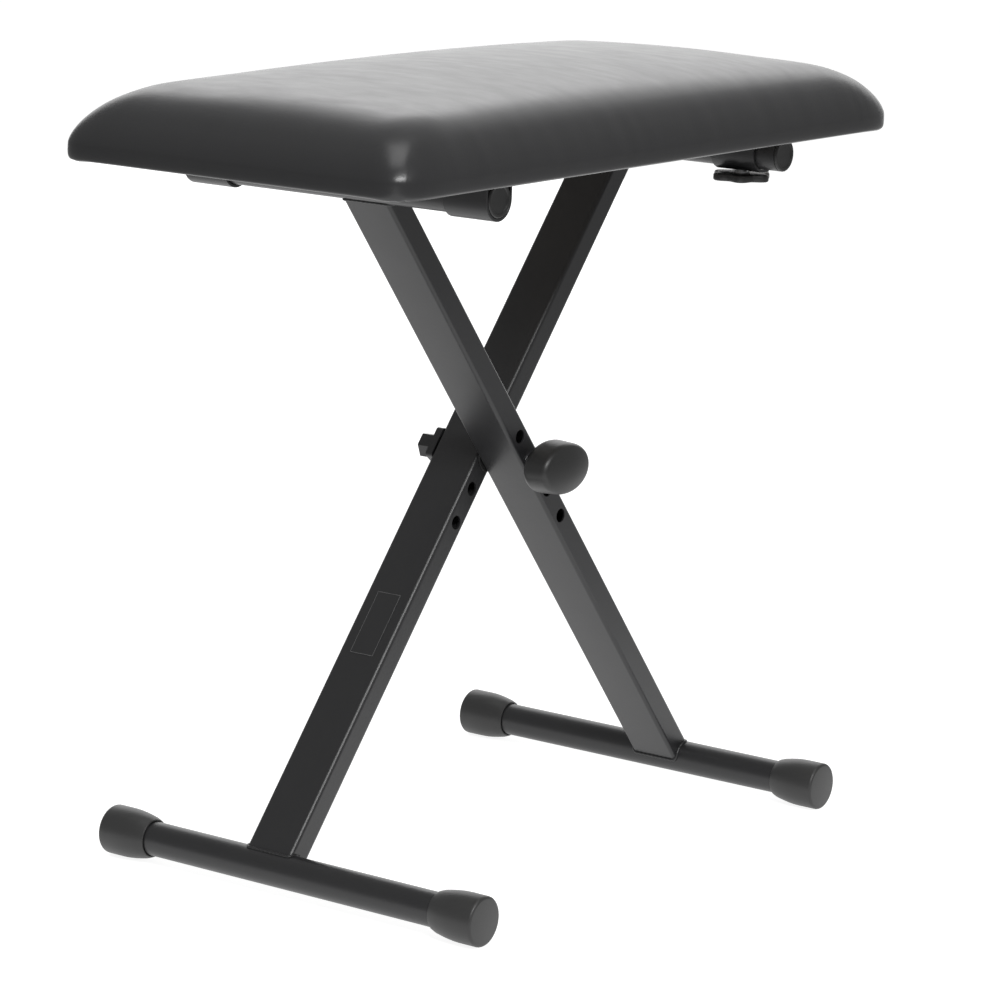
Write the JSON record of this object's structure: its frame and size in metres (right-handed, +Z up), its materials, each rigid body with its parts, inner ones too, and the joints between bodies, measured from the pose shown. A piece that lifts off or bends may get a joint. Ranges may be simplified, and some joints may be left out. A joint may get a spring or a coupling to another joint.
{
  "type": "folding bench",
  "caption": "Folding bench with crossed rectangular legs, round cross tubes with rubber caps, a padded oblong seat and a knobbed pivot bolt.",
  "frame": {"origin": "on the floor under the middle of the bench, at the centre of the bounding box's bottom", "axes": "+Z up, +Y along the seat's long side, +X along the foot tubes towards the pivot knob"},
  "size_m": [0.334, 0.626, 0.5785],
  "materials": {
    "coated_steel": "satin black powder coat",
    "foot_rubber": "matte moulded rubber",
    "black_plastic": "satin moulded plastic",
    "zinc_steel": "zinc plated",
    "plywood": "raw panel",
    "seat_foam": "open-cell foam",
    "black_vinyl": "satin vinyl with a fine grain"
  },
  "bodies": {
    "leg_frame_a": {"leg_tube_a": "coated_steel", "foot_tube_a": "coated_steel", "tee_tube_a": "coated_steel", "foot_cap_a_near": "foot_rubber", "foot_cap_a_far": "foot_rubber", "tee_plug_a_near": "black_plastic", "tee_plug_a_far": "black_plastic", "leg_washer": "black_plastic"},
    "leg_frame_b": {"leg_tube_b": "coated_steel", "foot_tube_b": "coated_steel", "tee_tube_b": "coated_steel", "foot_cap_b_near": "foot_rubber", "foot_cap_b_far": "foot_rubber", "tee_plug_b_near": "black_plastic", "tee_plug_b_far": "black_plastic", "nut_plate": "coated_steel", "pivot_nut": "coated_steel", "lock_stud": "zinc_steel"},
    "seat": {"seat_board": "plywood", "seat_foam": "seat_foam", "seat_cover": "black_vinyl", "saddle_strap_1": "coated_steel", "saddle_strap_2": "coated_steel", "tee_catch_1": "coated_steel", "tee_catch_2": "coated_steel", "strap_screw_1": "zinc_steel", "strap_screw_2": "zinc_steel", "strap_screw_3": "zinc_steel", "strap_screw_4": "zinc_steel", "strap_screw_5": "zinc_steel", "strap_screw_6": "zinc_steel", "strap_screw_7": "zinc_steel", "strap_screw_8": "zinc_steel", "catch_screw_1": "zinc_steel", "catch_screw_2": "zinc_steel", "catch_screw_3": "zinc_steel", "catch_screw_4": "zinc_steel"},
    "bolt_washer": {"knob_washer": "zinc_steel"},
    "pivot_handle": {"pivot_bolt": "zinc_steel", "pivot_knob": "black_plastic"},
    "lock_handle": {"star_knob": "black_plastic", "star_insert": "zinc_steel"}
  },
  "joints": [
    {"name": "leg_fold", "type": "hinge", "parent": "leg_frame_a", "child": "leg_frame_b", "pos_m": [0, 0, 0.28665], "axis": [-1, 0, 0], "range_deg": [0, 94]},
    {"name": "seat_fold", "type": "hinge", "parent": "leg_frame_a", "child": "seat", "pos_m": [0, -0.18123, 0.5065], "axis": [-1, 0, 0], "range_deg": [0, 47]},
    {"name": "pivot_bolt_pull", "type": "slide", "parent": "leg_frame_a", "child": "bolt_washer", "axis": [1, 0, 0], "range_m": [0, 0.105]},
    {"name": "pivot_knob_turn", "type": "hinge", "parent": "bolt_washer", "child": "pivot_handle", "pos_m": [0.0417, 0, 0.28665], "axis": [1, 0, 0], "range_deg": [0, 2520]},
    {"name": "lock_knob_turn", "type": "hinge", "parent": "leg_frame_b", "child": "lock_handle", "pos_m": [0.095, 0.18123, 0.4868], "axis": [0, 0, -1], "range_deg": [0, 1080]}
  ],
  "couplings": [
    {"joint": "seat_fold", "follows": "leg_fold", "ratio": 0.49}
  ]
}
